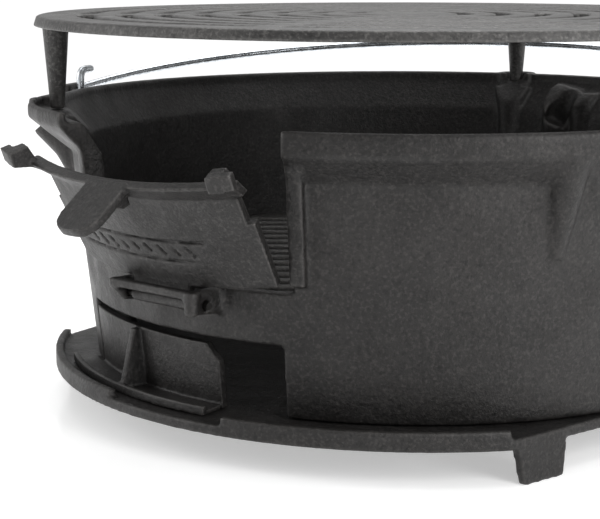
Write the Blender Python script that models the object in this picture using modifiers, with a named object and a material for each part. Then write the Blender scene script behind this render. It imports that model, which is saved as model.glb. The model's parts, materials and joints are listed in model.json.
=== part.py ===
"""Round cast-iron hibachi grill, in metres with +Z up.

A tapered fire bowl stands on a footed base plate. A round cooking grate stands over it on three
legs, a coal grate lies inside it, the fuel door tilts out of a gap in its wall, a curved slider
covers the air vent, and a wire bail carries it. The fuel door faces -Y. Every piece is drawn
about the bowl's axis, and their common parent then puts the origin on the floor below the middle
of the whole grill.
"""

import math

import bmesh
import bpy
from mathutils import Matrix, Vector

MM = 0.001
GAP = 0.3 * MM
FRONT = 270.0
ROUND_STEPS = 96

# The bowl's axis, from the middle of the whole grill's box.
AXIS_X = 5.43 * MM
AXIS_Y = 13.03 * MM

# Fire bowl: rim, flare and tapered wall.
RIM_R = 165.0 * MM
RIM_Z = 135.5 * MM
RIM_BAND = 9.4 * MM
RIM_INNER_R = 160.2 * MM
RIM_ROUND = 1.2 * MM
WALL = 5.0 * MM
WALL_TOP_Z = 115.0 * MM
WALL_TOP_R = 155.5 * MM
BOWL_BOTTOM_Z = 18.9 * MM
BOWL_BOTTOM_R = 145.0 * MM

# Door gap, cut straight through the wall and the rim.
GAP_HALF = 21.2
GAP_SILL_Z = 71.0 * MM
JAMB_RIB_HALF = 23.6
JAMB_RIB_PROUD = 4.5 * MM

# Cups for the cooking grate's legs. Two have a lower hook beside them, for the leg of a turned grate,
# and the cup next to the door gap is a long notch instead, open to the gap.
LEG_ANGLES = (106.5, 226.5, 346.5)
NOTCHED_LEG = 226.5
LEG_R = 161.5 * MM
CUP_R = 164.3 * MM
CUP_OUTER = 10.0 * MM
CUP_INNER = 7.2 * MM
CUP_DEPTH = 5.0 * MM
CUP_ROOT_LOW = (150.0 * MM, 100.0 * MM, 5.0 * MM)
CUP_ROOT_HIGH = (157.5 * MM, 128.0 * MM, 10.0 * MM)
CUP_SKIRT = (
    (164.3 * MM, 126.2 * MM, 10.0 * MM),
    (156.5 * MM, 115.0 * MM, 8.0 * MM),
    (150.5 * MM, 96.0 * MM, 4.0 * MM),
)
HOOK_LOW_TURN = -10.6
HOOK_HIGH_TURN = -15.2
HOOK_AXIS_R = 147.5 * MM
HOOK_FLOOR_Z = 110.5 * MM
HOOK_LOW_R = 5.7 * MM
HOOK_HIGH_R = 7.2 * MM
HOOK_MOUTH = 6.0 * MM
SLOPE_LOW_Z = 114.0 * MM
SLOPE_LOW_R = 140.0 * MM
SLOPE_HIGH_Z = 133.0 * MM
SLOPE_HIGH_R = 159.0 * MM
BULGE_TURN = -15.5
BULGE_HIGH_R = 9.2 * MM
BULGE_LOW_R = 3.4 * MM
BULGE_LOW_Z = 86.0 * MM

# The notch: its outer radius at angles from its closed end to past the door gap's side.
NOTCH_OUTER = (
    (213.0, 165.4),
    (216.5, 170.6),
    (221.0, 173.3),
    (226.5, 174.4),
    (232.0, 174.5),
    (240.0, 172.8),
    (250.5, 169.4),
)
NOTCH_BAND = 3.2 * MM
NOTCH_FROM = 221.0

# Air vent: a recess that the slider runs in, and the opening through it.
VENT_TOP_Z = 49.0 * MM
VENT_HALF = 18.4
SLIDER_HALF = 18.9
SLIDER_REST = FRONT - 11.5
RECESS_FROM = SLIDER_REST - SLIDER_HALF - 0.4
RECESS_TO = FRONT + SLIDER_HALF + 0.3
RECESS_DEPTH = 4.4 * MM
VENT_PAD = 3.8 * MM

# Base plate with its front apron, kerb and feet.
PLATE_BOTTOM_Z = 14.2 * MM
PLATE_TOP_Z = 18.6 * MM
KERB_TOP_Z = 22.2 * MM
KERB_THICK = 3.6 * MM
PLATE_R = 147.5 * MM
APRON_R = 165.0 * MM
APRON_HALF = 52.5
APRON_MEETS = 73.0
KERB_GAP_FROM = 260.0
KERB_GAP_TO = 282.0
FOOT_THICK = 4.0 * MM
FOOT_TOP_WIDTH = 28.0 * MM
FOOT_FLOOR_WIDTH = 22.0 * MM
FOOT_SPLAY = 2.0 * MM
FOOT_SET_BACK = 16.0 * MM

# Screws that hold the bowl to the plate.
BOLT_ANGLES = (70.0, 190.0, 310.0)
BOLT_CIRCLE_R = 132.0 * MM
BOLT_R = 2.4 * MM
BOLT_HOLE_R = 2.7 * MM
BOLT_LUG_TOP_Z = 26.0 * MM
HEX_ACROSS_CORNERS = 9.2 * MM
BOLT_HEAD = 3.4 * MM
WASHER_THICK = 1.0 * MM
WASHER_R = 5.2 * MM
NUT_HEIGHT = 4.0 * MM

# Cooking grate.
GRATE_BOTTOM_Z = 168.9 * MM
GRATE_TOP_Z = 173.4 * MM
GRATE_TOP_R = 169.5 * MM
GRATE_BOTTOM_R = 171.0 * MM
SLOT_COUNT = 8
SLOT_FIRST_R = 148.0 * MM
SLOT_PITCH = 17.4 * MM
SLOT_WIDTH = 7.4 * MM
SPOKE_WIDTH = 8.0 * MM
SPOKES = 6
LEG_TOP_R = 6.2 * MM
LEG_TIP_R = 3.3 * MM

# Coal grate.
COAL_TOP_Z = 61.0 * MM
COAL_THICK = 5.0 * MM
COAL_R = 140.0 * MM
COAL_RING = 8.0 * MM
COAL_BAR = 6.0 * MM
COAL_SLOT = 8.0 * MM
COAL_BAR_ANGLE = 38.0
COAL_LUG_ANGLES = (90.0, 210.0, 330.0)

# Fuel door, drawn closed and then tilted out about its hinge rod.
HINGE_Y = -157.0 * MM
HINGE_Z = 64.5 * MM
DOOR_OPEN = 22.0
DOOR_HALF = 20.6
DOOR_THICK = 4.5 * MM
DOOR_PROUD = 1.1 * MM
DOOR_BOTTOM_Z = 71.3 * MM
DOOR_TOP_Z = 121.5 * MM
DOOR_LIP_R = 167.6 * MM
NECK_HALF = 19.4
NECK_BOTTOM_Z = 101.5 * MM
NECK_TOP_Z = 114.0 * MM
EAR_HALF = 21.9
EAR_ROOT_HALF = 18.4
EAR_INNER_R = 170.9 * MM
EAR_OUTER_R = 175.2 * MM
EAR_BOTTOM_Z = 120.5 * MM
EAR_TOP_Z = 129.3 * MM
HANDLE_HALF_WIDTH = 11.0 * MM
HANDLE_CORNER_R = 8.5 * MM
HANDLE_REACH = 23.5 * MM
HANDLE_FALL = 16.0
HANDLE_THICK = 4.0 * MM
TONGUE_HALF_WIDTH = 16.0 * MM
TONGUE_THICK = 3.2 * MM
KNUCKLE_R = 3.2 * MM
ROD_R = 1.6 * MM
ROD_CLEARANCE = 0.3 * MM
ROD_HALF_LENGTH = 25.2 * MM

# Bracket on the bowl that carries the rod and stops the open door.
CHEEK_INNER_X = 19.8 * MM
CHEEK_THICK = 4.0 * MM
STOP_BAR_INNER_Y = -161.3 * MM
STOP_BAR_OUTER_Y = -165.4 * MM
STOP_BAR_TOP_Z = 72.0 * MM
STOP_BAR_BOTTOM_Z = 67.2 * MM
KNOB_R = 3.3 * MM

# Vent slider.
SLIDER_BOTTOM_Z = 19.0 * MM
SLIDER_TOP_Z = 46.2 * MM
SLIDER_THICK = 3.8 * MM
FLANGE_HALF = 22.5
FLANGE_R = 157.8 * MM
FLANGE_FLOOR = 1.8 * MM
FLANGE_LIP_Z = 22.8 * MM
FLANGE_LIP = 2.2 * MM
SLIDER_CHAMFER = 7.0 * MM
RIB_THICK = 3.2 * MM

# Wire bail and the ears that hold it.
BAIL_AXIS = 23.0
BAIL_Z = 130.5 * MM
BAIL_R = 180.0 * MM
WIRE_R = 2.1 * MM
BAIL_LEAN = 6.5
HOOK_R = 168.2 * MM
HOOK_RISE = 13.0 * MM
HOOK_BACK = 12.0 * MM
EAR_PLATE_FROM = 171.5 * MM
EAR_PLATE_TO = 175.5 * MM
EAR_HOLE_R = 2.6 * MM
BEND_R = 4.5 * MM
LOOP_STEP = math.radians(3)

CAST_IRON = ("cast_iron", (0.035, 0.034, 0.034, 1.0), 0.55, 0.55)
GRATE_IRON = ("grate_iron", (0.075, 0.074, 0.073, 1.0), 0.42, 0.65)
ZINC_WIRE = ("zinc_wire", (0.62, 0.64, 0.66, 1.0), 0.28, 0.95)
STEEL = ("steel", (0.42, 0.42, 0.43, 1.0), 0.35, 0.95)


def clear_scene():
    for obj in list(bpy.data.objects):
        bpy.data.objects.remove(obj, do_unlink=True)
    for collection in list(bpy.data.collections):
        bpy.data.collections.remove(collection)


def new_collection(name):
    collection = bpy.data.collections.new(name)
    bpy.context.scene.collection.children.link(collection)
    return collection


def polar(radius, degrees, z=0.0):
    angle = math.radians(degrees)
    return Vector((radius * math.cos(angle), radius * math.sin(angle), z))


def wall_outer(z):
    """Outer radius of the tapered wall at height z."""
    share = (z - BOWL_BOTTOM_Z) / (WALL_TOP_Z - BOWL_BOTTOM_Z)
    return BOWL_BOTTOM_R + share * (WALL_TOP_R - BOWL_BOTTOM_R)


def material(look):
    name, colour, roughness, metallic = look
    found = bpy.data.materials.get(name)
    if found:
        return found
    made = bpy.data.materials.new(name)
    made.use_nodes = True
    shader = made.node_tree.nodes["Principled BSDF"]
    shader.inputs["Base Color"].default_value = colour
    shader.inputs["Roughness"].default_value = roughness
    shader.inputs["Metallic"].default_value = metallic
    return made


def as_part(obj, look):
    """Gives a finished piece its material and its smooth shading."""
    obj.data.materials.clear()
    obj.data.materials.append(material(look))
    obj.data.shade_smooth()
    obj.data.set_sharp_from_angle(angle=math.radians(32))
    return obj


def from_bmesh(name, bm, collection):
    bmesh.ops.recalc_face_normals(bm, faces=bm.faces)
    mesh = bpy.data.meshes.new(name)
    bm.to_mesh(mesh)
    bm.free()
    obj = bpy.data.objects.new(name, mesh)
    collection.objects.link(obj)
    return obj


def turned(name, outline, collection, steps=ROUND_STEPS):
    """A full turn of a closed (radius, height) outline that runs down its outer side."""
    bm = bmesh.new()
    verts = [bm.verts.new((radius, 0.0, z)) for radius, z in outline]
    for here, after in zip(verts, verts[1:] + verts[:1]):
        bm.edges.new((here, after))
    mesh = bpy.data.meshes.new(name)
    bm.to_mesh(mesh)
    bm.free()
    obj = bpy.data.objects.new(name, mesh)
    collection.objects.link(obj)
    screw = obj.modifiers.new("turn", "SCREW")
    screw.steps = screw.render_steps = steps
    screw.use_merge_vertices = True
    screw.merge_threshold = 0.00005
    return obj


def sector(name, outline, start, end, collection, step=4.0):
    """A closed (radius, height) outline swept round Z from start to end degrees."""
    bm = bmesh.new()
    verts = [bm.verts.new(polar(radius, start, z)) for radius, z in outline]
    face = bm.faces.new(verts)
    bmesh.ops.spin(
        bm,
        geom=bm.verts[:] + bm.edges[:] + [face],
        cent=(0, 0, 0),
        axis=(0, 0, 1),
        angle=math.radians(end - start),
        steps=max(1, math.ceil((end - start) / step)),
    )
    return from_bmesh(name, bm, collection)


def lofted(name, sections, collection):
    """A body whose sections, closed outlines of as many points each, are joined one to the next."""
    bm = bmesh.new()
    rings = [[bm.verts.new(point) for point in section] for section in sections]
    for first, second in zip(rings, rings[1:]):
        for index in range(len(first)):
            after = (index + 1) % len(first)
            bm.faces.new((first[index], first[after], second[after], second[index]))
    bm.faces.new(rings[0])
    bm.faces.new(rings[-1])
    return from_bmesh(name, bm, collection)


def cone(name, low, high, low_r, high_r, collection, sides=24):
    """A round bar, peg or taper from point low to point high."""
    along = Vector(high) - Vector(low)
    middle = (Vector(high) + Vector(low)) / 2
    place = Matrix.Translation(middle) @ along.to_track_quat("Z", "Y").to_matrix().to_4x4()
    bm = bmesh.new()
    bmesh.ops.create_cone(
        bm,
        cap_ends=True,
        segments=sides,
        radius1=low_r,
        radius2=high_r,
        depth=along.length,
        matrix=place,
    )
    return from_bmesh(name, bm, collection)


def box(name, low, high, collection, turn=0.0):
    """A box between two corners, then turned about Z."""
    low, high = Vector(low), Vector(high)
    bm = bmesh.new()
    scale = Matrix.Diagonal((*(high - low), 1.0))
    spin = Matrix.Rotation(math.radians(turn), 4, "Z")
    bmesh.ops.create_cube(bm, size=1.0, matrix=spin @ Matrix.Translation((low + high) / 2) @ scale)
    return from_bmesh(name, bm, collection)


def prism(name, outline, thickness, place, collection):
    """A flat outline in the local XY plane, centred on its thickness along local Z."""
    bm = bmesh.new()
    verts = [bm.verts.new((x, y, -thickness / 2)) for x, y in outline]
    face = bm.faces.new(verts)
    grown = bmesh.ops.extrude_face_region(bm, geom=[face])["geom"]
    risen = [item for item in grown if isinstance(item, bmesh.types.BMVert)]
    bmesh.ops.translate(bm, verts=risen, vec=(0, 0, thickness))
    bmesh.ops.transform(bm, matrix=place, verts=bm.verts)
    return from_bmesh(name, bm, collection)


def as_helper(obj):
    obj.hide_render = True
    obj.display_type = "WIRE"
    for holder in list(obj.users_collection):
        holder.objects.unlink(obj)
    HELPERS.objects.link(obj)
    return obj


def boolean(obj, other, operation):
    modifier = obj.modifiers.new(operation.lower(), "BOOLEAN")
    modifier.operation = operation
    modifier.solver = "EXACT"
    modifier.object = as_helper(other)
    return obj


def add(obj, other):
    return boolean(obj, other, "UNION")


def cut(obj, other):
    return boolean(obj, other, "DIFFERENCE")


def settle(obj):
    """Replaces an object's modifiers by the mesh that they make."""
    bpy.context.view_layer.update()
    graph = bpy.context.evaluated_depsgraph_get()
    mesh = bpy.data.meshes.new_from_object(obj.evaluated_get(graph))
    obj.modifiers.clear()
    obj.data = mesh
    return obj


def wire(name, points, radius, collection, resolution=2):
    """A bent wire through the points, made a mesh with welded end caps."""
    curve = bpy.data.curves.new(name, "CURVE")
    curve.dimensions = "3D"
    curve.bevel_depth = radius
    curve.bevel_resolution = resolution
    curve.use_fill_caps = True
    spline = curve.splines.new("POLY")
    spline.points.add(len(points) - 1)
    for slot, point in zip(spline.points, points):
        slot.co = (*point, 1.0)
    guide = bpy.data.objects.new(name + "_route", curve)
    collection.objects.link(guide)
    bpy.context.view_layer.update()
    graph = bpy.context.evaluated_depsgraph_get()
    mesh = bpy.data.meshes.new_from_object(guide.evaluated_get(graph))
    bm = bmesh.new()
    bm.from_mesh(mesh)
    bmesh.ops.remove_doubles(bm, verts=bm.verts, dist=0.00001)
    bpy.data.objects.remove(guide, do_unlink=True)
    return from_bmesh(name, bm, collection)


def rounded_route(corners, radius, steps=4):
    """Points along a polyline whose inner corners are rounded."""
    route = [corners[0]]
    for before, corner, after in zip(corners, corners[1:], corners[2:]):
        back = (before - corner).normalized()
        ahead = (after - corner).normalized()
        half = back.angle(ahead) / 2
        reach = min(radius / math.tan(half), 0.45 * (before - corner).length)
        start, end = corner + back * reach, corner + ahead * reach
        for index in range(steps + 1):
            share = index / steps
            first = start.lerp(corner, share)
            second = corner.lerp(end, share)
            route.append(first.lerp(second, share))
    route.append(corners[-1])
    return route


def bowl_shell():
    band_z = RIM_Z - RIM_BAND
    inner_bottom_r = BOWL_BOTTOM_R - WALL
    outline = [
        (RIM_R - RIM_ROUND, RIM_Z),
        (RIM_R, RIM_Z - RIM_ROUND),
        (RIM_R, band_z),
        (WALL_TOP_R, WALL_TOP_Z),
        (BOWL_BOTTOM_R, BOWL_BOTTOM_Z),
        (inner_bottom_r, BOWL_BOTTOM_Z),
        (WALL_TOP_R - WALL, WALL_TOP_Z + 1.5 * MM),
        (RIM_INNER_R, RIM_Z - 4.0 * MM),
        (RIM_INNER_R, RIM_Z - RIM_ROUND),
        (RIM_INNER_R + RIM_ROUND, RIM_Z),
    ]
    return turned("fire_bowl", outline, PARTS)


def leg_seat(bowl, angle):
    """The cup that a leg stands in."""
    def taper(name, low, high):
        (low_at, low_z, low_r), (high_at, high_z, high_r) = low, high
        return cone(name, polar(low_at, angle, low_z), polar(high_at, angle, high_z), low_r, high_r, PARTS)

    add(bowl, taper("cup", (CUP_R, RIM_Z - RIM_BAND, CUP_OUTER), (CUP_R, RIM_Z + 0.4 * MM, CUP_OUTER)))
    for (high_from, high_z, high_r), low in zip(CUP_SKIRT, CUP_SKIRT[1:]):
        add(bowl, taper("cup_skirt", low, (high_from, high_z + 0.1 * MM, high_r)))
    add(bowl, taper("cup_root", CUP_ROOT_LOW, CUP_ROOT_HIGH))
    if angle == NOTCHED_LEG:
        notch(bowl)
    else:
        leg_hook(bowl, angle)
    floor_z = RIM_Z - CUP_DEPTH
    hollow = (CUP_R, floor_z, CUP_INNER - 0.8 * MM), (CUP_R, floor_z + 12 * MM, CUP_INNER + 0.8 * MM)
    cut(bowl, taper("cup_hollow", *hollow))


def leg_hook(bowl, angle):
    """The slanted channel of a lower hook, and the bulge in the wall behind it."""
    def at(radius, z, turn):
        return polar(radius, angle + turn, z)

    body = at(148.5 * MM, 103 * MM, -9.8), at(151 * MM, 130.5 * MM, -11.8)
    add(bowl, cone("hook", *body, 5 * MM, 10.4 * MM, PARTS))
    bulge = at(150.6 * MM, BULGE_LOW_Z, BULGE_TURN - 0.8), at(156.6 * MM, 126.5 * MM, BULGE_TURN)
    add(bowl, cone("bulge", *bulge, BULGE_LOW_R, BULGE_HIGH_R, PARTS))
    for inward in (0.0, HOOK_MOUTH):
        low = at(HOOK_AXIS_R - inward, HOOK_FLOOR_Z, HOOK_LOW_TURN)
        high = at(HOOK_AXIS_R - inward, RIM_Z + 6 * MM, HOOK_HIGH_TURN)
        cut(bowl, cone("hook_channel", low, high, HOOK_LOW_R, HOOK_HIGH_R, PARTS, 20))


def notch(bowl):
    """The rim swells outward into a long notch that starts behind the leg and ends at the door gap."""
    low_z = RIM_Z - 22 * MM
    swelling, hollow = [], []
    for angle, outer in NOTCH_OUTER:
        outer *= MM
        outline = (
            (162.5 * MM, RIM_Z - 0.3 * MM),
            (outer - MM, RIM_Z - 0.3 * MM),
            (outer, RIM_Z - 1.3 * MM),
            (outer, RIM_Z - 6.5 * MM),
            (0.45 * outer + 0.55 * WALL_TOP_R, RIM_Z - 15 * MM),
            (WALL_TOP_R - 0.8 * MM, low_z),
            (WALL_TOP_R - 2.5 * MM, low_z),
        )
        swelling.append([polar(radius, angle, z) for radius, z in outline])
        if angle >= NOTCH_FROM:
            inside = outer - NOTCH_BAND
            floor_z = RIM_Z - CUP_DEPTH + 0.2 * MM
            top_z = RIM_Z + 5 * MM
            outline = (150 * MM, floor_z), (inside, floor_z), (inside, top_z), (150 * MM, top_z)
            hollow.append([polar(radius, angle, z) for radius, z in outline])
    add(bowl, lofted("notch_swelling", swelling, PARTS))
    cut(bowl, lofted("notch_hollow", hollow, PARTS))


def jamb_rib(bowl, side):
    """A raised rib down one side of the door gap."""
    low_z = RIM_Z - 61.0 * MM
    rib = [
        (wall_outer(low_z) - 2 * MM, low_z),
        (wall_outer(low_z) + JAMB_RIB_PROUD, low_z),
        (wall_outer(WALL_TOP_Z) + JAMB_RIB_PROUD, WALL_TOP_Z + 2 * MM),
        (RIM_R - 1.5 * MM, RIM_Z - RIM_BAND + 0.5 * MM),
        (RIM_R - 5 * MM, RIM_Z - RIM_BAND + 0.5 * MM),
        (wall_outer(WALL_TOP_Z) - 2 * MM, WALL_TOP_Z - MM),
    ]
    ends = sorted((FRONT + side * (GAP_HALF - 0.8), FRONT + side * JAMB_RIB_HALF))
    add(bowl, sector("jamb_rib", rib, *ends, PARTS))


def door_gap(bowl):
    top = RIM_Z + 6 * MM
    through = [(120 * MM, GAP_SILL_Z), (190 * MM, GAP_SILL_Z), (190 * MM, top), (120 * MM, top)]
    cut(bowl, sector("gap_through", through, FRONT - GAP_HALF, FRONT + GAP_HALF, PARTS, 3.75))


def air_vent(bowl):
    """The recess for the slider, backed by an inner pad, and the opening through both."""
    pad = [
        (wall_outer(BOWL_BOTTOM_Z) - WALL - VENT_PAD, BOWL_BOTTOM_Z + 0.1 * MM),
        (wall_outer(BOWL_BOTTOM_Z) - MM, BOWL_BOTTOM_Z + 0.1 * MM),
        (wall_outer(VENT_TOP_Z) - MM, VENT_TOP_Z + 4 * MM),
        (wall_outer(VENT_TOP_Z) - WALL, VENT_TOP_Z + 4 * MM),
        (wall_outer(VENT_TOP_Z) - WALL - VENT_PAD, VENT_TOP_Z),
    ]
    low = BOWL_BOTTOM_Z - 5 * MM
    recess = [
        (wall_outer(low) - RECESS_DEPTH, low),
        (190 * MM, low),
        (190 * MM, VENT_TOP_Z),
        (wall_outer(VENT_TOP_Z) - RECESS_DEPTH, VENT_TOP_Z),
    ]
    top = VENT_TOP_Z - 0.6 * MM
    through = [(120 * MM, low), (190 * MM, low), (190 * MM, top), (120 * MM, top)]
    add(bowl, sector("vent_pad", pad, RECESS_FROM - 2.5, RECESS_TO + 2.5, PARTS))
    cut(bowl, sector("vent_recess", recess, RECESS_FROM, RECESS_TO, PARTS, 3.0))
    cut(bowl, sector("vent_through", through, FRONT - VENT_HALF, FRONT + VENT_HALF, PARTS, 3.0))


def hinge_bracket(bowl):
    """Two cheeks joined by a bar across their front, bored for the rod."""
    cheek = [
        (STOP_BAR_OUTER_Y, STOP_BAR_TOP_Z),
        (STOP_BAR_OUTER_Y, STOP_BAR_BOTTOM_Z),
        (HINGE_Y - 2 * MM, HINGE_Z - 3.6 * MM),
        (-147 * MM, HINGE_Z - 4.6 * MM),
        (-147 * MM, STOP_BAR_TOP_Z - 1.2 * MM),
    ]
    stand = Matrix(((0, 0, 1, 0), (1, 0, 0, 0), (0, 1, 0, 0), (0, 0, 0, 1)))
    for side in (-1, 1):
        middle = side * (CHEEK_INNER_X + CHEEK_THICK / 2)
        add(bowl, prism("cheek", cheek, CHEEK_THICK, Matrix.Translation((middle, 0, 0)) @ stand, PARTS))
    half = CHEEK_INNER_X + CHEEK_THICK + 0.8 * MM
    add(bowl, box("stop_bar", (-half, STOP_BAR_OUTER_Y - 0.3 * MM, STOP_BAR_BOTTOM_Z),
                  (half, STOP_BAR_INNER_Y, STOP_BAR_TOP_Z + 0.3 * MM), PARTS))
    knob_x = CHEEK_INNER_X + CHEEK_THICK / 2
    knob_y = STOP_BAR_OUTER_Y + 2 * MM
    knob = (knob_x, knob_y, HINGE_Z - 3.5 * MM), (knob_x, knob_y, STOP_BAR_TOP_Z + 0.6 * MM)
    add(bowl, cone("knob", *knob, KNOB_R - 0.4 * MM, KNOB_R, PARTS, 20))
    bore = ROD_R + ROD_CLEARANCE
    ends = [(x, HINGE_Y, HINGE_Z) for x in (-40 * MM, 40 * MM)]
    cut(bowl, cone("rod_bore", *ends, bore, bore, PARTS, 16))


def bail_ears(bowl):
    """An upright ear at each side, joined to the rim behind and below the wire's hooked end."""
    for angle in (BAIL_AXIS, BAIL_AXIS + 180.0):
        back = -1.0 if angle > 180.0 else 1.0
        near, far = sorted((back * -6 * MM, back * 9 * MM))
        plate = (EAR_PLATE_FROM, near, 115 * MM), (EAR_PLATE_TO, far, 137 * MM)
        add(bowl, box("ear_plate", *plate, PARTS, angle))
        near, far = sorted((back * 4.2 * MM, back * 9 * MM))
        web = (156 * MM, near, 115.3 * MM), (173 * MM, far, 125.6 * MM)
        add(bowl, box("ear_web", *web, PARTS, angle))
        inner, outer = polar(166 * MM, angle, BAIL_Z), polar(182 * MM, angle, BAIL_Z)
        cut(bowl, cone("ear_hole", inner, outer, EAR_HOLE_R, EAR_HOLE_R, PARTS, 16))


def inner_lugs(bowl):
    """Lugs for the screws at the bottom and for the coal grate halfway up."""
    for angle in BOLT_ANGLES:
        foot = polar(BOLT_CIRCLE_R + MM, angle, BOWL_BOTTOM_Z)
        top = polar(BOLT_CIRCLE_R + MM, angle, BOLT_LUG_TOP_Z)
        add(bowl, cone("bolt_lug", foot, top, 8.6 * MM, 8.0 * MM, PARTS, 20))
        below = polar(BOLT_CIRCLE_R, angle, BOWL_BOTTOM_Z - 5 * MM)
        above = polar(BOLT_CIRCLE_R, angle, BOLT_LUG_TOP_Z + 5 * MM)
        cut(bowl, cone("bolt_bore", below, above, BOLT_HOLE_R, BOLT_HOLE_R, PARTS, 16))
    top_z = COAL_TOP_Z - COAL_THICK - GAP
    for angle in COAL_LUG_ANGLES:
        lug = (134 * MM, -6 * MM, top_z - 7 * MM), (146.5 * MM, 6 * MM, top_z)
        add(bowl, box("coal_lug", *lug, PARTS, angle))


def slope_inner_edge(bowl):
    """Slopes the tops of all that stands inward of the rim down into the bowl."""
    low, high = Vector((0, 0, SLOPE_LOW_Z)), Vector((0, 0, SLOPE_HIGH_Z))
    top = Vector((0, 0, RIM_Z + 20 * MM))
    clearing_r = SLOPE_HIGH_R - 0.4 * MM
    clearing_low = high - Vector((0, 0, MM))
    cut(bowl, cone("inner_slope", low, high, SLOPE_LOW_R, SLOPE_HIGH_R, PARTS, 76))
    cut(bowl, cone("inner_clearing", clearing_low, top, clearing_r, clearing_r, PARTS, 70))


def make_fire_bowl():
    bowl = bowl_shell()
    for angle in LEG_ANGLES:
        leg_seat(bowl, angle)
    slope_inner_edge(bowl)
    for side in (-1, 1):
        jamb_rib(bowl, side)
    hinge_bracket(bowl)
    bail_ears(bowl)
    inner_lugs(bowl)
    air_vent(bowl)
    door_gap(bowl)
    return as_part(settle(bowl), CAST_IRON)


def arc(radius, start, end, step):
    count = max(1, round(abs(end - start) / step))
    return [polar(radius, start + (end - start) * index / count) for index in range(count + 1)]


def foot(plate, corner, side_way, outward):
    """A tapered plate foot under the plate's edge, splayed a little outward."""
    edge = Vector(side_way).normalized()
    out = Vector(outward).normalized()
    centre = Vector(corner) + edge * FOOT_SET_BACK - out * FOOT_THICK / 2
    bm = bmesh.new()
    bmesh.ops.create_cube(bm, size=1.0)
    for vert in bm.verts:
        low = vert.co.z < 0
        width = FOOT_FLOOR_WIDTH if low else FOOT_TOP_WIDTH
        shift = FOOT_SPLAY if low else 0.4 * MM
        place = centre + edge * vert.co.x * width + out * (vert.co.y * FOOT_THICK + shift)
        vert.co = (place.x, place.y, 0.0 if low else PLATE_TOP_Z - 0.4 * MM)
    add(plate, from_bmesh("foot", bm, PARTS))


def make_base_plate():
    turn = APRON_HALF
    outline = arc(APRON_R, FRONT - turn, FRONT + turn, 3.75)
    outline += arc(PLATE_R, FRONT + APRON_MEETS, FRONT - APRON_MEETS + 360.0, 4.5)
    middle_z = (PLATE_BOTTOM_Z + PLATE_TOP_Z) / 2
    flat = [(point.x, point.y) for point in outline]
    lift = Matrix.Translation((0, 0, middle_z))
    plate = prism("base_plate", flat, PLATE_TOP_Z - PLATE_BOTTOM_Z, lift, PARTS)
    kerb = [
        (APRON_R - KERB_THICK, PLATE_TOP_Z - MM),
        (APRON_R - 0.05 * MM, PLATE_TOP_Z - MM),
        (APRON_R - 0.05 * MM, KERB_TOP_Z),
        (APRON_R - KERB_THICK, KERB_TOP_Z),
    ]
    add(plate, sector("kerb", kerb, FRONT - turn + 0.1, KERB_GAP_FROM, PARTS, 3.75))
    add(plate, sector("kerb", kerb, KERB_GAP_TO, FRONT + turn - 0.1, PARTS, 3.75))
    for side in (-1, 1):
        corner = polar(APRON_R, FRONT + side * APRON_HALF)
        meets = polar(PLATE_R, FRONT + side * APRON_MEETS)
        way = meets - corner
        foot(plate, corner, way, (side * way.y, -side * way.x, 0))
    foot(plate, (FOOT_SET_BACK, PLATE_R, 0), (-1, 0, 0), (0, 1, 0))
    for angle in BOLT_ANGLES:
        below, above = polar(BOLT_CIRCLE_R, angle, 5 * MM), polar(BOLT_CIRCLE_R, angle, 25 * MM)
        cut(plate, cone("plate_hole", below, above, BOLT_HOLE_R, BOLT_HOLE_R, PARTS, 16))
    return as_part(settle(plate), CAST_IRON)


def make_screws():
    """A hexagon screw from below, with a washer and a nut on the bowl's lug, at each lug."""
    for number, angle in enumerate(BOLT_ANGLES, 1):
        def at(z):
            return polar(BOLT_CIRCLE_R, angle, z)

        head_top = PLATE_BOTTOM_Z - GAP
        shank = at(head_top - 0.2 * MM), at(36 * MM)
        screw = cone(f"base_screw_{number}", *shank, BOLT_R, BOLT_R, PARTS, 12)
        corner_r = HEX_ACROSS_CORNERS / 2
        add(screw, cone("hex_head", at(head_top - BOLT_HEAD), at(head_top), corner_r, corner_r, PARTS, 6))
        as_part(settle(screw), STEEL)
        washer_z = BOLT_LUG_TOP_Z + GAP
        nut_z = washer_z + WASHER_THICK + GAP
        for name, low, high, radius, sides in (
            (f"base_washer_{number}", washer_z, washer_z + WASHER_THICK, WASHER_R, 24),
            (f"base_nut_{number}", nut_z, nut_z + NUT_HEIGHT, corner_r, 6),
        ):
            ring = cone(name, at(low), at(high), radius, radius, PARTS, sides)
            cut(ring, cone("ring_bore", at(low - MM), at(high + MM), BOLT_HOLE_R, BOLT_HOLE_R, PARTS, 12))
            as_part(settle(ring), STEEL)


def slot_cutters():
    """Curved slots in rings, left open between the spokes, as one cutter of separate solids."""
    bm = bmesh.new()
    for ring in range(SLOT_COUNT):
        middle = SLOT_FIRST_R - ring * SLOT_PITCH
        spokes = SPOKES if ring < SLOT_COUNT - 2 else SPOKES // 2
        spoke = math.degrees((SPOKE_WIDTH + SLOT_WIDTH) / middle)
        sweep = 360.0 / spokes - spoke
        for number in range(spokes):
            start = LEG_ANGLES[0] + number * 360.0 / spokes + spoke / 2
            outer_r, inner_r = middle + SLOT_WIDTH / 2, middle - SLOT_WIDTH / 2
            step = max(6.0, math.degrees(9 * MM / middle))
            outline = arc(outer_r, start, start + sweep, step)
            outline.append(polar(middle, start + sweep + math.degrees(SLOT_WIDTH / 2 / middle)))
            outline += arc(inner_r, start + sweep, start, step)
            outline.append(polar(middle, start - math.degrees(SLOT_WIDTH / 2 / middle)))
            verts = [bm.verts.new((point.x, point.y, GRATE_BOTTOM_Z - 2 * MM)) for point in outline]
            face = bm.faces.new(verts)
            grown = bmesh.ops.extrude_face_region(bm, geom=[face])["geom"]
            risen = [item for item in grown if isinstance(item, bmesh.types.BMVert)]
            bmesh.ops.translate(bm, verts=risen, vec=(0, 0, GRATE_TOP_Z - GRATE_BOTTOM_Z + 4 * MM))
    return from_bmesh("grate_slots", bm, PARTS)


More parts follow.
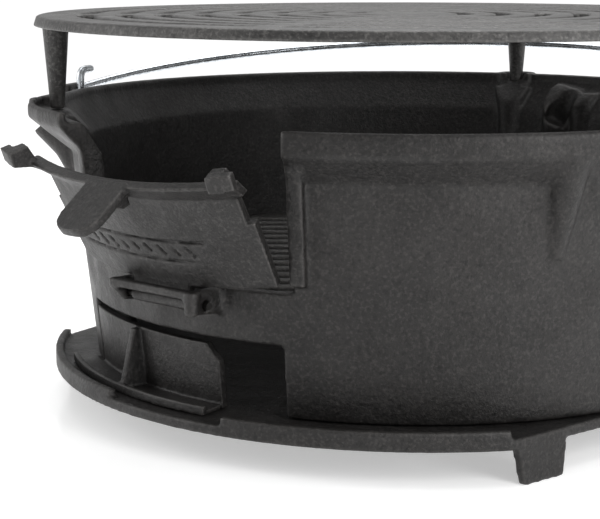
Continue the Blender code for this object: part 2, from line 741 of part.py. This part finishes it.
def make_cooking_grate():
    bm = bmesh.new()
    bmesh.ops.create_cone(
        bm,
        cap_ends=True,
        segments=ROUND_STEPS,
        radius1=GRATE_BOTTOM_R,
        radius2=GRATE_TOP_R,
        depth=GRATE_TOP_Z - GRATE_BOTTOM_Z,
        matrix=Matrix.Translation((0, 0, (GRATE_TOP_Z + GRATE_BOTTOM_Z) / 2)),
    )
    grate = from_bmesh("cooking_grate", bm, PARTS)
    cut(grate, slot_cutters())
    tip_z = RIM_Z - CUP_DEPTH + GAP
    for angle in LEG_ANGLES:
        ends = polar(LEG_R, angle, tip_z), polar(LEG_R, angle, GRATE_BOTTOM_Z + MM)
        add(grate, cone("leg", *ends, LEG_TIP_R, LEG_TOP_R, PARTS, 20))
    return as_part(settle(grate), GRATE_IRON)


def make_coal_grate():
    low = COAL_TOP_Z - COAL_THICK
    grate = cone("coal_grate", (0, 0, low), (0, 0, COAL_TOP_Z), COAL_R, COAL_R, PARTS, ROUND_STEPS // 2)
    bm = bmesh.new()
    pitch = COAL_BAR + COAL_SLOT
    count = int((COAL_R - COAL_RING) / pitch)
    spin = Matrix.Rotation(math.radians(COAL_BAR_ANGLE), 4, "Z")
    for number in range(-count, count + 1):
        across = number * pitch
        reach = math.sqrt((COAL_R - COAL_RING) ** 2 - (abs(across) + COAL_SLOT / 2) ** 2)
        for side in (-1, 1):
            inner = COAL_BAR / 2
            size = (reach - inner, COAL_SLOT, 4 * COAL_THICK, 1.0)
            middle = Matrix.Translation((side * (reach + inner) / 2, across, low))
            bmesh.ops.create_cube(bm, size=1.0, matrix=spin @ middle @ Matrix.Diagonal(size))
    cut(grate, from_bmesh("coal_slots", bm, PARTS))
    return as_part(settle(grate), CAST_IRON)


def door_panel():
    outer = DOOR_THICK + DOOR_PROUD
    outline = [
        (wall_outer(DOOR_BOTTOM_Z) + DOOR_PROUD, DOOR_BOTTOM_Z),
        (wall_outer(DOOR_BOTTOM_Z) + outer, DOOR_BOTTOM_Z),
        (wall_outer(WALL_TOP_Z) + outer, WALL_TOP_Z - 2 * MM),
        (DOOR_LIP_R, DOOR_TOP_Z - MM),
        (DOOR_LIP_R, DOOR_TOP_Z),
        (DOOR_LIP_R - 1.2 * DOOR_THICK, DOOR_TOP_Z),
        (wall_outer(WALL_TOP_Z) + DOOR_PROUD, WALL_TOP_Z - MM),
    ]
    return sector("fuel_door", outline, FRONT - DOOR_HALF, FRONT + DOOR_HALF, PARTS, 3.5)


def door_ears(door):
    """At each top corner a block that catches the rim from outside, over a narrower neck."""
    root = [
        (DOOR_LIP_R - DOOR_THICK, DOOR_TOP_Z - 6 * MM),
        (DOOR_LIP_R, DOOR_TOP_Z - 2 * MM),
        (EAR_OUTER_R, EAR_BOTTOM_Z + 2 * MM),
        (EAR_OUTER_R - 0.4 * MM, EAR_TOP_Z - 0.3 * MM),
        (DOOR_LIP_R - MM, EAR_TOP_Z - 0.3 * MM),
    ]
    ear = [
        (EAR_INNER_R, EAR_BOTTOM_Z + MM),
        (EAR_OUTER_R, EAR_BOTTOM_Z + 2.5 * MM),
        (EAR_OUTER_R, EAR_TOP_Z),
        (EAR_INNER_R, EAR_TOP_Z),
    ]
    inner, outer = 145 * MM, 175 * MM
    neck = [(inner, NECK_BOTTOM_Z), (outer, NECK_BOTTOM_Z), (outer, NECK_TOP_Z), (inner, NECK_TOP_Z)]
    for side in (-1, 1):
        def between(first, last):
            return sorted((FRONT + side * first, FRONT + side * last))

        add(door, sector("ear_root", root, *between(EAR_ROOT_HALF, DOOR_HALF - 0.05), PARTS))
        add(door, sector("ear", ear, *between(EAR_ROOT_HALF + 0.5, EAR_HALF), PARTS))
        cut(door, sector("neck", neck, *between(NECK_HALF, EAR_HALF), PARTS))


def make_fuel_door():
    door = door_panel()
    door_ears(door)
    stand = Matrix(((0, 0, 1, 0), (1, 0, 0, 0), (0, 1, 0, 0), (0, 0, 0, 1)))
    straight = HANDLE_REACH - HANDLE_CORNER_R
    inset = HANDLE_HALF_WIDTH - HANDLE_CORNER_R
    outline = [(-HANDLE_HALF_WIDTH, 3.5 * MM)]
    for centre, start in ((-inset, 180.0), (inset, 270.0)):
        corner = arc(HANDLE_CORNER_R, start, start + 90.0, 15.0)
        outline += [(centre + point.x, point.y - straight) for point in corner]
    outline.append((HANDLE_HALF_WIDTH, 3.5 * MM))
    root = Matrix.Translation((0, -DOOR_LIP_R, DOOR_TOP_Z - HANDLE_THICK / 2 - 0.2 * MM))
    fall = Matrix.Rotation(math.radians(HANDLE_FALL), 4, "X")
    add(door, prism("handle", outline, HANDLE_THICK, root @ fall, PARTS))
    gusset = [
        (4 * MM - DOOR_LIP_R, DOOR_TOP_Z - 1.5 * MM),
        (-DOOR_LIP_R - 7 * MM, DOOR_TOP_Z - 5.2 * MM),
        (-DOOR_LIP_R + 0.5 * MM, DOOR_TOP_Z - 10 * MM),
        (4 * MM - DOOR_LIP_R, DOOR_TOP_Z - 10 * MM),
    ]
    add(door, prism("handle_gusset", gusset, 1.3 * HANDLE_HALF_WIDTH, stand, PARTS))
    inner = -wall_outer(DOOR_BOTTOM_Z) - DOOR_PROUD - 0.3 * MM
    tongue = [
        (inner, DOOR_BOTTOM_Z + 3 * MM),
        (inner - TONGUE_THICK, DOOR_BOTTOM_Z + 3 * MM),
        (HINGE_Y - 2 * MM, HINGE_Z + MM),
        (HINGE_Y + 1.6 * MM, HINGE_Z + MM),
    ]
    add(door, prism("tongue", tongue, 2 * TONGUE_HALF_WIDTH, stand, PARTS))
    ends = [(side * TONGUE_HALF_WIDTH, HINGE_Y, HINGE_Z) for side in (-1.04, 1.04)]
    add(door, cone("knuckle", *ends, KNUCKLE_R, KNUCKLE_R, PARTS, 20))
    bore = ROD_R + ROD_CLEARANCE
    ends = [(side * 2 * TONGUE_HALF_WIDTH, HINGE_Y, HINGE_Z) for side in (-1, 1)]
    cut(door, cone("door_bore", *ends, bore, bore, PARTS, 16))
    settle(door)
    axis = Matrix.Translation((0, HINGE_Y, HINGE_Z))
    door.data.transform(axis.inverted())
    door.location = (0, HINGE_Y, HINGE_Z)
    door.rotation_euler = (math.radians(DOOR_OPEN), 0, 0)
    return as_part(door, CAST_IRON)


def make_hinge_rod():
    ends = [(side * ROD_HALF_LENGTH, HINGE_Y, HINGE_Z) for side in (-1, 1)]
    return as_part(cone("door_hinge_rod", *ends, ROD_R, ROD_R, PARTS, 16), STEEL)


def make_vent_slider():
    """A curved plate with a finger rib, on a flange that slides on the base plate."""
    def face(z):
        return wall_outer(z) - GAP

    plate = [
        (face(SLIDER_BOTTOM_Z) - SLIDER_THICK, SLIDER_BOTTOM_Z),
        (face(SLIDER_BOTTOM_Z), SLIDER_BOTTOM_Z),
        (face(SLIDER_TOP_Z), SLIDER_TOP_Z),
        (face(SLIDER_TOP_Z) - SLIDER_THICK, SLIDER_TOP_Z),
    ]
    slider = sector("vent_slider", plate, SLIDER_REST - SLIDER_HALF, SLIDER_REST + SLIDER_HALF, PARTS, 3.0)
    tray_in = wall_outer(BOWL_BOTTOM_Z) + 0.9 * MM
    tray = [
        (tray_in, SLIDER_BOTTOM_Z),
        (FLANGE_R, SLIDER_BOTTOM_Z),
        (FLANGE_R, FLANGE_LIP_Z),
        (FLANGE_R - FLANGE_LIP, FLANGE_LIP_Z),
        (FLANGE_R - FLANGE_LIP, SLIDER_BOTTOM_Z + FLANGE_FLOOR),
        (tray_in, SLIDER_BOTTOM_Z + FLANGE_FLOOR),
    ]
    add(slider, sector("tray", tray, SLIDER_REST - FLANGE_HALF, SLIDER_REST + SLIDER_HALF, PARTS, 3.0))
    root_in = face(SLIDER_BOTTOM_Z) - 2 * MM
    root = [
        (root_in, SLIDER_BOTTOM_Z + 0.1 * MM),
        (tray_in + 3 * MM, SLIDER_BOTTOM_Z + 0.1 * MM),
        (tray_in + 3 * MM, SLIDER_BOTTOM_Z + FLANGE_FLOOR - 0.1 * MM),
        (root_in, SLIDER_BOTTOM_Z + FLANGE_FLOOR - 0.1 * MM),
    ]
    hold = SLIDER_HALF - 0.5
    add(slider, sector("tray_root", root, SLIDER_REST - hold, SLIDER_REST + hold, PARTS, 3.0))
    rib = [
        (face(SLIDER_BOTTOM_Z) - 2 * MM, SLIDER_BOTTOM_Z + MM),
        (FLANGE_R - 0.4 * MM, SLIDER_BOTTOM_Z + MM),
        (FLANGE_R - 1.5 * MM, FLANGE_LIP_Z),
        (face(SLIDER_TOP_Z) + 3 * MM, SLIDER_TOP_Z - 0.6 * MM),
        (face(SLIDER_TOP_Z) - 2 * MM, SLIDER_TOP_Z - 0.6 * MM),
    ]
    stand = Matrix(((1, 0, 0, 0), (0, 0, -1, 0), (0, 1, 0, 0), (0, 0, 0, 1)))
    spin = Matrix.Rotation(math.radians(SLIDER_REST), 4, "Z")
    add(slider, prism("finger_rib", rib, RIB_THICK, spin @ stand, PARTS))
    edge = math.radians(SLIDER_REST + SLIDER_HALF) * wall_outer(SLIDER_TOP_Z)
    corner = []
    for radius in (130 * MM, 165 * MM):
        outline = (-SLIDER_CHAMFER, MM), (2 * MM, MM), (2 * MM, -SLIDER_CHAMFER - 2 * MM)
        turns = [math.degrees((edge + along) / wall_outer(SLIDER_TOP_Z)) for along, _ in outline]
        corner.append([polar(radius, turn, SLIDER_TOP_Z + up) for turn, (_, up) in zip(turns, outline)])
    cut(slider, lofted("corner_chamfer", corner, PARTS))
    return as_part(settle(slider), CAST_IRON)


def make_bail():
    """One bent wire: hooked ends through the ears, and a half circle between them."""
    along = polar(1.0, BAIL_AXIS)
    back = polar(1.0, BAIL_AXIS + 90.0)
    lean = math.radians(BAIL_LEAN)
    up = Vector((0, 0, 1))
    swing = back * math.cos(lean) + up * math.sin(lean)
    centre = Vector((0, 0, BAIL_Z))

    def end(side):
        inner = centre + along * side * HOOK_R
        return [
            inner + up * HOOK_RISE + back * HOOK_BACK,
            inner + up * HOOK_RISE,
            inner,
            centre + along * side * BAIL_R,
            centre + BAIL_R * (along * side * math.cos(LOOP_STEP) + swing * math.sin(LOOP_STEP)),
        ]

    first = rounded_route(end(1), BEND_R)
    last = rounded_route(end(-1), BEND_R)
    loop = []
    for index in range(2, 59):
        angle = index * LOOP_STEP
        loop.append(centre + BAIL_R * (along * math.cos(angle) + swing * math.sin(angle)))
    return as_part(wire("bail", first + loop + last[::-1], WIRE_R, PARTS), ZINC_WIRE)


def place_about_middle():
    """Hangs every piece on one empty that stands on the bowl's axis."""
    axis = bpy.data.objects.new("bowl_axis", None)
    PARTS.objects.link(axis)
    for obj in list(PARTS.objects):
        if obj is not axis:
            obj.parent = axis
    axis.location = (AXIS_X, AXIS_Y, 0.0)


clear_scene()
PARTS = new_collection("hibachi_grill")
HELPERS = new_collection("helpers")
HELPERS.hide_render = True
make_base_plate()
make_fire_bowl()
make_screws()
make_coal_grate()
make_cooking_grate()
make_fuel_door()
make_hinge_rod()
make_vent_slider()
make_bail()
place_about_middle()
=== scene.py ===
"""Studio picture of the cast-iron hibachi grill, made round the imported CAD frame."""

import json
import math

import bmesh
import bpy
from mathutils import Matrix, Vector


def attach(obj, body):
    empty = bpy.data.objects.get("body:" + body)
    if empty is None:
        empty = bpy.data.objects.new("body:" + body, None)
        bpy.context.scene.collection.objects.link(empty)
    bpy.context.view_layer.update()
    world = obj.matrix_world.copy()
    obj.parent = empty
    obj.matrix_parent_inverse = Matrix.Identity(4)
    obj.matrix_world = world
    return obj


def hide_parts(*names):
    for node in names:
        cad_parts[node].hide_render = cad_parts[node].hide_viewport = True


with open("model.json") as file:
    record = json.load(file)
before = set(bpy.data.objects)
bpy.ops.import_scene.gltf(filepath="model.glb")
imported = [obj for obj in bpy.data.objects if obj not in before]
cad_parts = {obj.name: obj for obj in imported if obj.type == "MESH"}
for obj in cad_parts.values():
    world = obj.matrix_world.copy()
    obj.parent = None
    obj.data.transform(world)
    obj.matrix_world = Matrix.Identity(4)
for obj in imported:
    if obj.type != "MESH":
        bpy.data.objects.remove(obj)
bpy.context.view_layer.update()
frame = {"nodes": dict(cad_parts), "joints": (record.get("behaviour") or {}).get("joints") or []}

MM = 0.001
ROOT = "grill_body"
JOINTS = {joint["name"]: joint for joint in frame["joints"]}

# The bowl's axis, which the slider turns about, and a point on the door's hinge line.
AXIS = Vector((*JOINTS["vent_slide"]["pos_m"][:2], 0.0))
HINGE = Vector(JOINTS["door_tilt"]["pos_m"])
DOOR_OPEN = -JOINTS["door_tilt"]["range_deg"][0]

FRONT = 270.0

CAST_VOXEL = 1.1 * MM
MOST_FACES = 180_000
WELD = 0.002 * MM

ROOM_LIGHT = 0.62
FLOOR_GLOW = 0.42
FLOOR_HALF = 6.0

CAMERA_FROM_AXIS = Vector((469.8, -601.3, 200.8)) * MM
CAMERA_PITCH = 79.39
CAMERA_TURN = 41.78
SENSOR = 36.0
LENS = 98.32

# The closed door's outer face, as (radius, height) at two heights, and the band of lines on it.
PANEL_LOW = (156.3 * MM, 71.3 * MM)
PANEL_HIGH = (161.1 * MM, 115.0 * MM)
BAND_TOP = 93.0 * MM
BAND_BOTTOM = 83.5 * MM
BAND_HALF = 17.0
BAND_STEPS = 14
BARS = 9
BAR_PITCH = 2.6
BAR_SLANT = 1.4
BAR_INSET = 2.2 * MM
GROOVE_WIDTH = 1.4 * MM
GROOVE_DEPTH = 1.4 * MM
GROOVE_CLEAR = 2.0 * MM

# The irons' dark, light and worn-edge colours, and the range of roughness.
IRONS = {
    "bowl_iron": ((0.010, 0.0092, 0.0088), (0.017, 0.0155, 0.0148), (0.085, 0.08, 0.076), (0.4, 0.56)),
    "base_iron": ((0.011, 0.0102, 0.0098), (0.019, 0.0175, 0.0168), (0.10, 0.095, 0.09), (0.4, 0.56)),
    "door_iron": ((0.013, 0.012, 0.0115), (0.022, 0.0205, 0.0198), (0.10, 0.095, 0.09), (0.4, 0.56)),
    "slider_iron": ((0.011, 0.0102, 0.0098), (0.019, 0.0175, 0.0168), (0.09, 0.085, 0.08), (0.4, 0.56)),
    "grate_iron": ((0.030, 0.029, 0.028), (0.050, 0.048, 0.046), (0.16, 0.155, 0.15), (0.36, 0.5)),
    "coal_grate_iron": ((0.022, 0.021, 0.02), (0.04, 0.038, 0.036), (0.12, 0.115, 0.11), (0.4, 0.56)),
}
GRAIN = 900.0
RELIEF = 0.3 * MM


# ---------------------------------------------------------------- materials

def shader_of(name):
    """A new material, its node tree and its shader."""
    made = bpy.data.materials.new(name)
    made.use_nodes = True
    tree = made.node_tree
    return made, tree, tree.nodes["Principled BSDF"]


def noise(tree, scale, detail=3.0, roughness=0.55):
    """A noise pattern fixed to the piece; scale is in features per metre."""
    place = tree.nodes.new("ShaderNodeTexCoord")
    made = tree.nodes.new("ShaderNodeTexNoise")
    made.inputs["Scale"].default_value = scale
    made.inputs["Detail"].default_value = detail
    made.inputs["Roughness"].default_value = roughness
    tree.links.new(place.outputs["Object"], made.inputs["Vector"])
    return made.outputs["Fac"]


def ramp(tree, source, stops):
    """Turns a value into a grey by two (position, grey) stops."""
    made = tree.nodes.new("ShaderNodeValToRGB")
    for element, (position, value) in zip(made.color_ramp.elements, stops):
        element.position, element.color = position, grey(value)
    tree.links.new(source, made.inputs["Fac"])
    return made.outputs["Color"]


def grey(value):
    """An opaque colour from one number or from three."""
    return (value, value, value, 1.0) if isinstance(value, (int, float)) else (*value, 1.0)


def mix(tree, share, first, second):
    """Blends two colours; each of the three inputs is a socket or a value."""
    made = tree.nodes.new("ShaderNodeMix")
    made.data_type = "RGBA"
    for socket, value in ((0, share), (6, first), (7, second)):
        if hasattr(value, "links"):
            tree.links.new(value, made.inputs[socket])
        elif socket == 0:
            made.inputs[0].default_value = value
        else:
            made.inputs[socket].default_value = grey(value)
    return made.outputs[2]


def bump(tree, height, distance, strength, below=None):
    """Relief from a height pattern, laid over the relief below it."""
    made = tree.nodes.new("ShaderNodeBump")
    made.inputs["Strength"].default_value = strength
    made.inputs["Distance"].default_value = distance
    tree.links.new(height, made.inputs["Height"])
    if below is not None:
        tree.links.new(below, made.inputs["Normal"])
    return made.outputs["Normal"]


def cast_iron(name):
    """Seasoned sand-cast iron: fine grain, broad cloudy patches, worn lighter edges and painted shade
    darkening the creases.
    """
    dark, light, edge, roughness = IRONS[name]
    made, tree, shader = shader_of(name)
    clouds = noise(tree, 26.0, 5.0, 0.6)
    body = mix(tree, ramp(tree, clouds, [(0.36, 0.0), (0.66, 1.0)]), dark, light)
    speckle = ramp(tree, noise(tree, GRAIN * 0.8, 2.0), [(0.50, 0.0), (0.68, 0.6)])
    body = mix(tree, speckle, body, [value * 2.4 for value in light])
    pitted = ramp(tree, noise(tree, GRAIN * 0.55, 3.0), [(0.34, 0.7), (0.48, 0.0)])
    body = mix(tree, pitted, body, [value * 0.35 for value in dark])
    shape = tree.nodes.new("ShaderNodeNewGeometry").outputs["Pointiness"]
    worn = ramp(tree, shape, [(0.515, 0.0), (0.60, 0.85)])
    patches = ramp(tree, noise(tree, 140.0, 4.0), [(0.35, 0.25), (0.65, 1.0)])
    patchy = mix(tree, patches, (0, 0, 0), worn)
    body = mix(tree, patchy, body, edge)
    # Painted shade: concave creases and corners (low pointiness) are darkened towards a deeper copy of the
    # dark colour.
    painted_crease_shade = ramp(tree, shape, [(0.40, 0.55), (0.485, 0.0)])
    body = mix(tree, painted_crease_shade, body, [value * 0.45 for value in dark])
    tree.links.new(body, shader.inputs["Base Color"])
    sheen = ramp(tree, noise(tree, 60.0, 4.0), [(0.35, roughness[0]), (0.68, roughness[1])])
    tree.links.new(sheen, shader.inputs["Roughness"])
    shader.inputs["Metallic"].default_value = 0.35
    shader.inputs["Specular IOR Level"].default_value = 0.5
    waves = bump(tree, noise(tree, 60.0, 3.0), 1.6 * MM, 0.4)
    pits = bump(tree, noise(tree, GRAIN * 0.38, 3.0), 0.5 * MM, 0.55, waves)
    fine = bump(tree, noise(tree, GRAIN, 4.0, 0.65), RELIEF, 0.9, pits)
    tree.links.new(fine, shader.inputs["Normal"])
    return made


def plated(name, dark, light, roughness):
    """Plated or bare drawn steel, with faint marks and dull patches."""
    made, tree, shader = shader_of(name)
    body = mix(tree, ramp(tree, noise(tree, 320.0, 4.0), [(0.35, 0.0), (0.7, 1.0)]), dark, light)
    tree.links.new(body, shader.inputs["Base Color"])
    dull = ramp(tree, noise(tree, 180.0, 4.0), [(0.35, roughness - 0.06), (0.7, roughness + 0.12)])
    tree.links.new(dull, shader.inputs["Roughness"])
    shader.inputs["Metallic"].default_value = 0.95
    tree.links.new(bump(tree, noise(tree, 1400.0, 3.0), 0.05 * MM, 0.5), shader.inputs["Normal"])
    return made


def floor_white():
    """A white floor with a faint gloss and a glow of its own, so that it stays white round a soft shadow."""
    made, tree, shader = shader_of("floor_white")
    tone = mix(tree, noise(tree, 3.0, 2.0), (0.92, 0.92, 0.92), (0.95, 0.95, 0.95))
    tree.links.new(tone, shader.inputs["Base Color"])
    shader.inputs["Roughness"].default_value = 0.16
    shader.inputs["Emission Color"].default_value = (1.0, 1.0, 1.0, 1.0)
    shader.inputs["Emission Strength"].default_value = FLOOR_GLOW
    return made


# ---------------------------------------------------------------- mesh work

def link(name, mesh):
    obj = bpy.data.objects.new(name, mesh)
    bpy.context.scene.collection.objects.link(obj)
    return obj


def settle(obj):
    """Replaces an object's modifiers by the mesh that they make."""
    bpy.context.view_layer.update()
    graph = bpy.context.evaluated_depsgraph_get()
    mesh = bpy.data.meshes.new_from_object(obj.evaluated_get(graph))
    obj.modifiers.clear()
    obj.data = mesh


def as_cast(node, body, material, voxel=CAST_VOXEL, rounds=4, removed=()):
    """A piece's real surface: the CAD solid less the cutters, with rounded edges and filleted corners."""
    obj = link(node + "_casting", frame["nodes"][node].data.copy())
    bm = bmesh.new()
    bm.from_mesh(obj.data)
    bmesh.ops.remove_doubles(bm, verts=bm.verts, dist=WELD)
    bm.to_mesh(obj.data)
    bm.free()
    for number, mesh in enumerate(removed):
        cutter = link(f"cutter_{number}", mesh)
        carve = obj.modifiers.new("carve", "BOOLEAN")
        carve.operation = "DIFFERENCE"
        carve.solver = "EXACT"
        carve.object = cutter
        settle(obj)
        bpy.data.objects.remove(cutter, do_unlink=True)
    remesh = obj.modifiers.new("remesh", "REMESH")
    remesh.mode = "VOXEL"
    remesh.voxel_size = voxel * 1.0
    soften = obj.modifiers.new("soften", "SMOOTH")
    soften.factor = 0.5
    soften.iterations = rounds
    settle(obj)
    faces = 2 * len(obj.data.polygons)
    if faces > MOST_FACES:
        thin = obj.modifiers.new("thin", "DECIMATE")
        thin.ratio = MOST_FACES / faces
        settle(obj)
    obj.data.shade_smooth()
    obj.data.materials.clear()
    obj.data.materials.append(material)
    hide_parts(node)
    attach(obj, body)


def paint(node, material):
    """Gives a CAD piece that keeps its own mesh a finish."""
    mesh = frame["nodes"][node].data
    mesh.materials.clear()
    mesh.materials.append(material)
    mesh.shade_smooth()


# ---------------------------------------------------------------- the door's lines

def wall_radius(z):
    """Outer radius of the closed door's panel at height z."""
    (low_r, low_z), (high_r, high_z) = PANEL_LOW, PANEL_HIGH
    return low_r + (z - low_z) * (high_r - low_r) / (high_z - low_z)


def groove(points):
    """A cutter along (angle, height) points on the closed door's outer face, turned to the open door."""
    bm = bmesh.new()
    rings = []
    for index, (angle, z) in enumerate(points):
        before, after = points[max(index - 1, 0)], points[min(index + 1, len(points) - 1)]
        along = math.radians(after[0] - before[0]) * wall_radius(z)
        run = Vector((along, after[1] - before[1])).normalized()
        side = Vector((-run.y, run.x)) * GROOVE_WIDTH / 2
        corners = (-1, -GROOVE_DEPTH), (1, -GROOVE_DEPTH), (1, GROOVE_CLEAR), (-1, GROOVE_CLEAR)
        ring = []
        for across, out in corners:
            turn = math.radians(FRONT + angle) + across * side.x / wall_radius(z)
            height = z + across * side.y
            radius = wall_radius(height) + out
            ring.append(bm.verts.new((radius * math.cos(turn), radius * math.sin(turn), height)))
        rings.append(ring)
    for first, second in zip(rings, rings[1:]):
        for corner in range(4):
            after = (corner + 1) % 4
            bm.faces.new((first[corner], first[after], second[after], second[corner]))
    bm.faces.new(rings[0])
    bm.faces.new(rings[-1][::-1])
    bmesh.ops.recalc_face_normals(bm, faces=bm.faces)
    tilt = Matrix.Rotation(math.radians(DOOR_OPEN), 4, "X")
    opened = Matrix.Translation(HINGE) @ tilt @ Matrix.Translation(AXIS - HINGE)
    bmesh.ops.transform(bm, matrix=opened, verts=bm.verts)
    mesh = bpy.data.meshes.new("groove")
    bm.to_mesh(mesh)
    bm.free()
    return mesh


def door_grooves():
    """Two lines across the door with slanted bars between them."""
    def level(z, first, last):
        return [(first + (last - first) * step / BAND_STEPS, z) for step in range(BAND_STEPS + 1)]

    lines = [
        level(BAND_TOP, -BAND_HALF, BAND_HALF - 5.0),
        level(BAND_BOTTOM, -BAND_HALF, BAND_HALF - 8.0),
    ]
    for number in range(BARS):
        start = -BAND_HALF + 4.0 + number * BAR_PITCH
        lines.append([(start, BAND_TOP - BAR_INSET), (start + BAR_SLANT, BAND_BOTTOM + BAR_INSET)])
    return [groove(line) for line in lines]


# ---------------------------------------------------------------- the stage

def make_floor():
    bm = bmesh.new()
    bmesh.ops.create_grid(bm, x_segments=8, y_segments=8, size=FLOOR_HALF)
    mesh = bpy.data.meshes.new("floor")
    bm.to_mesh(mesh)
    bm.free()
    floor = link("floor", mesh)
    mesh.materials.append(floor_white())


def softbox(name, place, aim, size, watts):
    """A rectangular area light at a place, turned to its aim."""
    light = bpy.data.lights.new(name, "AREA")
    light.shape = "RECTANGLE"
    light.size, light.size_y = size
    light.energy = watts
    lamp = link(name, light)
    lamp.location = place
    lamp.rotation_euler = (Vector(aim) - Vector(place)).to_track_quat("-Z", "Y").to_euler()


def make_world(tree):
    """White to the camera, and dimmer for the light and the reflections on the grill."""
    sky = tree.nodes["Background"]
    sky.inputs["Color"].default_value = (1.0, 1.0, 1.0, 1.0)
    room = tree.nodes.new("ShaderNodeBackground")
    room.inputs["Color"].default_value = (1.0, 1.0, 1.0, 1.0)
    room.inputs["Strength"].default_value = ROOM_LIGHT
    seen = tree.nodes.new("ShaderNodeLightPath")
    choose = tree.nodes.new("ShaderNodeMixShader")
    tree.links.new(seen.outputs["Is Camera Ray"], choose.inputs["Fac"])
    tree.links.new(room.outputs["Background"], choose.inputs[1])
    tree.links.new(sky.outputs["Background"], choose.inputs[2])
    tree.links.new(choose.outputs["Shader"], tree.nodes["World Output"].inputs["Surface"])


def make_lights():
    world = bpy.data.worlds.new("studio")
    bpy.context.scene.world = world
    world.use_nodes = True
    make_world(world.node_tree)
    softbox("top_light", place=(-0.05, 0.35, 1.1), aim=(0, 0, 0.1), size=(1.3, 1.0), watts=12)
    softbox("right_light", place=(1.15, -0.15, 0.55), aim=(0.08, -0.08, 0.08), size=(0.5, 0.8), watts=9)
    softbox("left_light", place=(-0.85, -0.75, 0.5), aim=(-0.1, -0.1, 0.08), size=(0.35, 0.7), watts=4)


def make_camera():
    """Looks at the front from the right, just above the grate."""
    data = bpy.data.cameras.new("camera")
    data.sensor_width = SENSOR
    data.lens = LENS
    camera = link("camera", data)
    camera.location = AXIS + CAMERA_FROM_AXIS
    camera.rotation_euler = (math.radians(CAMERA_PITCH), 0.0, math.radians(CAMERA_TURN))
    bpy.context.scene.camera = camera
    bpy.context.scene.view_settings.view_transform = "Standard"


# ---------------------------------------------------------------- the pieces

ZINC = plated("zinc_wire", (0.50, 0.53, 0.56), (0.72, 0.75, 0.78), 0.24)
ROD_STEEL = plated("dark_steel", (0.03, 0.029, 0.028), (0.06, 0.058, 0.056), 0.42)
STEEL = plated("plated_steel", (0.34, 0.34, 0.35), (0.50, 0.50, 0.51), 0.34)

as_cast("fire_bowl", ROOT, cast_iron("bowl_iron"))
as_cast("base_plate", ROOT, cast_iron("base_iron"), 0.9 * MM)
as_cast("fuel_door", "fuel_door", cast_iron("door_iron"), 0.6 * MM, 3, door_grooves())
as_cast("vent_slider", "vent_slider", cast_iron("slider_iron"), 0.5 * MM)
as_cast("cooking_grate", "cooking_grate", cast_iron("grate_iron"), 0.9 * MM)
as_cast("coal_grate", "coal_grate", cast_iron("coal_grate_iron"), 1.2 * MM)
as_cast("bail", "bail", ZINC, 0.5 * MM, 8)
paint("door_hinge_rod", ROD_STEEL)
for number in (1, 2, 3):
    for kind in ("screw", "washer", "nut"):
        paint(f"base_{kind}_{number}", STEEL)

make_floor()
make_lights()
make_camera()
